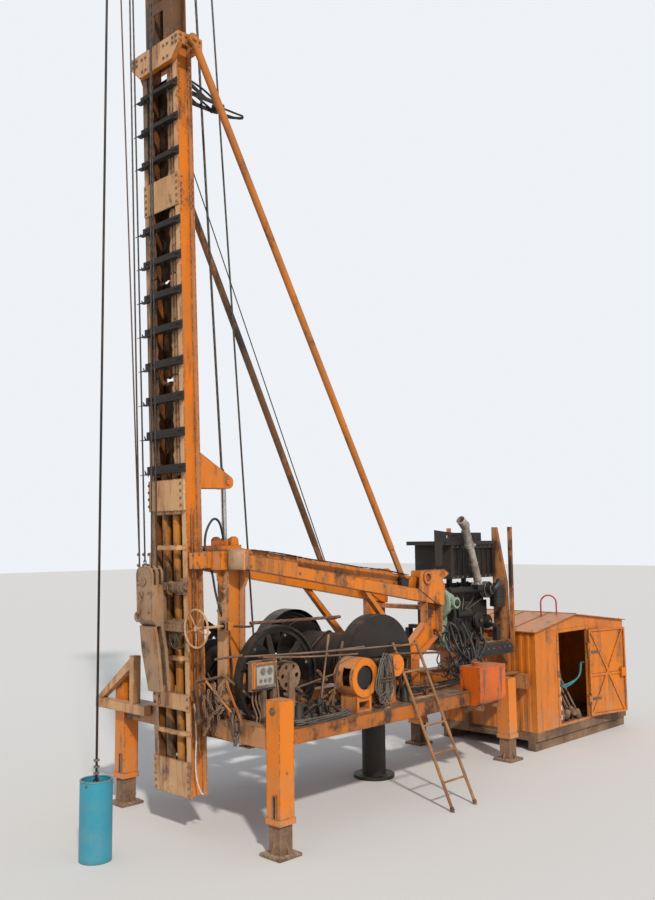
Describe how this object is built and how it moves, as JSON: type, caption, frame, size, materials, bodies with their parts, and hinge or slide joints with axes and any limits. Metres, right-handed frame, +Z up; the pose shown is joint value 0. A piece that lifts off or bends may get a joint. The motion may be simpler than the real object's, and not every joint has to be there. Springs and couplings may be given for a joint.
{
  "type": "pile driver rig",
  "caption": "Leader mast pile driver on a winch frame with jack legs, stays, lift cylinder, drop hammer, engine deck and tool cabin.",
  "frame": {"origin": "middle of the whole rig seen from above, on the ground", "axes": "+X forward towards the mast and hammer, +Y to the machine's left, +Z up"},
  "size_m": [9.455, 3.4098, 12.6092],
  "materials": {
    "orange_paint": "chipped semi-gloss",
    "peach_paint": "weathered matt",
    "rusty_steel": "rusty",
    "greasy_steel": "greasy",
    "chrome_rod": "polished",
    "cyan_paint": "chipped",
    "green_paint": "matt",
    "wire_rope": "greasy",
    "sooty_steel": "sooty"
  },
  "bodies": {
    "chassis": {"chassis_frame": "orange_paint", "walkways": "rusty_steel", "leg_sleeves": "orange_paint", "centre_jack": "greasy_steel", "right_wing": "peach_paint", "front_posts": "orange_paint", "crosshead": "orange_paint", "side_beams": "orange_paint", "rear_trestle": "orange_paint", "lift_cylinder": "orange_paint", "drop_hammer": "cyan_paint", "hammer_rope": "wire_rope", "winch_bearings": "rusty_steel", "drum_guard": "greasy_steel", "clutch_housing": "orange_paint", "control_stand": "rusty_steel", "engine_deck": "orange_paint", "engine_block": "greasy_steel", "radiator": "greasy_steel", "exhaust_pipe": "sooty_steel", "generator": "green_paint", "fuel_tank": "orange_paint", "ladder": "rusty_steel", "cabin_base": "rusty_steel", "cabin_walls": "orange_paint", "cabin_roof": "orange_paint"},
    "mast": {"mast_chords": "orange_paint", "mast_plates": "peach_paint", "mast_rungs": "greasy_steel", "mast_pipes": "orange_paint", "mast_upper": "orange_paint", "mast_yoke": "orange_paint", "mast_head": "orange_paint", "rope_outrigger": "greasy_steel", "lift_bracket": "orange_paint", "travelling_block": "peach_paint"},
    "leg_foot_front_left": {"leg_foot_front_left": "rusty_steel"},
    "leg_foot_front_right": {"leg_foot_front_right": "rusty_steel"},
    "leg_foot_rear_left": {"leg_foot_rear_left": "rusty_steel"},
    "leg_foot_rear_right": {"leg_foot_rear_right": "rusty_steel"},
    "lift_rod": {"lift_rod": "chrome_rod"},
    "stay_left": {"stay_left": "orange_paint"},
    "stay_right": {"stay_right": "orange_paint"},
    "stay_shoe_left": {"stay_shoe_left": "greasy_steel"},
    "stay_shoe_right": {"stay_shoe_right": "greasy_steel"},
    "head_sheave_front": {"head_sheave_front": "greasy_steel"},
    "head_sheave_rear": {"head_sheave_rear": "greasy_steel"},
    "winch_front": {"winch_front": "greasy_steel"},
    "winch_rear": {"winch_rear": "greasy_steel"},
    "capstan": {"capstan": "greasy_steel"},
    "small_winch": {"small_winch": "orange_paint"},
    "handwheel": {"handwheel": "peach_paint"},
    "cabin_door": {"cabin_door": "orange_paint"}
  },
  "joints": [
    {"name": "leg_front_left", "type": "slide", "parent": "chassis", "child": "leg_foot_front_left", "axis": [0, 0, -1], "range_m": [0, 0.5]},
    {"name": "leg_front_right", "type": "slide", "parent": "chassis", "child": "leg_foot_front_right", "axis": [0, 0, -1], "range_m": [0, 0.5]},
    {"name": "leg_rear_left", "type": "slide", "parent": "chassis", "child": "leg_foot_rear_left", "axis": [0, 0, -1], "range_m": [0, 0.5]},
    {"name": "leg_rear_right", "type": "slide", "parent": "chassis", "child": "leg_foot_rear_right", "axis": [0, 0, -1], "range_m": [0, 0.5]},
    {"name": "mast_lift", "type": "slide", "parent": "chassis", "child": "mast", "axis": [0.0314, 0, 0.9995], "range_m": [-0.3, 0.2]},
    {"name": "lift_rod_slide", "type": "slide", "parent": "chassis", "child": "lift_rod", "axis": [0.0314, 0, 0.9995], "range_m": [-0.305, 0.205]},
    {"name": "stay_left_pin", "type": "hinge", "parent": "mast", "child": "stay_left", "pos_m": [3.74368, 0.485, 8.3892], "axis": [0, -1, 0], "range_deg": [-4.36, 3.01]},
    {"name": "stay_shoe_left_slide", "type": "slide", "parent": "chassis", "child": "stay_shoe_left", "axis": [-0.991, 0, -0.134], "range_m": [-0.2916, 0.4349]},
    {"name": "stay_right_pin", "type": "hinge", "parent": "mast", "child": "stay_right", "pos_m": [3.74368, -0.495, 8.3892], "axis": [0, -1, 0], "range_deg": [-4.79, 3.29]},
    {"name": "stay_shoe_right_slide", "type": "slide", "parent": "chassis", "child": "stay_shoe_right", "axis": [-0.991, 0, -0.134], "range_m": [-0.3183, 0.475]},
    {"name": "head_sheave_front_spin", "type": "hinge", "parent": "mast", "child": "head_sheave_front", "pos_m": [4.3435, 0.101, 12.35925], "axis": [0, 1, 0], "continuous": true},
    {"name": "head_sheave_rear_spin", "type": "hinge", "parent": "mast", "child": "head_sheave_rear", "pos_m": [3.6625, 0.101, 12.35925], "axis": [0, 1, 0], "continuous": true},
    {"name": "winch_front_spin", "type": "hinge", "parent": "chassis", "child": "winch_front", "pos_m": [2.8225, -0.005, 1.57], "axis": [0, 1, 0], "continuous": true},
    {"name": "winch_rear_spin", "type": "hinge", "parent": "chassis", "child": "winch_rear", "pos_m": [1.2525, -0.005, 1.57], "axis": [0, 1, 0], "continuous": true},
    {"name": "capstan_spin", "type": "hinge", "parent": "chassis", "child": "capstan", "pos_m": [1.8525, 0.995, 1.49], "axis": [0, 1, 0], "continuous": true},
    {"name": "small_winch_spin", "type": "hinge", "parent": "chassis", "child": "small_winch", "pos_m": [1.2625, 0.995, 1.56], "axis": [0, 1, 0], "continuous": true},
    {"name": "handwheel_spin", "type": "hinge", "parent": "chassis", "child": "handwheel", "pos_m": [3.7225, 0.54, 2.125], "axis": [1, 0, 0], "continuous": true},
    {"name": "cabin_door_hinge", "type": "hinge", "parent": "chassis", "child": "cabin_door", "pos_m": [-3.5075, 0.872, 0.9], "axis": [0, 0, 1], "range_deg": [-166, 8]}
  ],
  "couplings": [
    {"joint": "lift_rod_slide", "follows": "mast_lift", "ratio": 1},
    {"joint": "stay_left_pin", "follows": "mast_lift", "rad_per_m": 0.2364},
    {"joint": "stay_shoe_left_slide", "follows": "mast_lift", "ratio": -1.4331},
    {"joint": "stay_right_pin", "follows": "mast_lift", "rad_per_m": 0.2613},
    {"joint": "stay_shoe_right_slide", "follows": "mast_lift", "ratio": -1.5666}
  ]
}
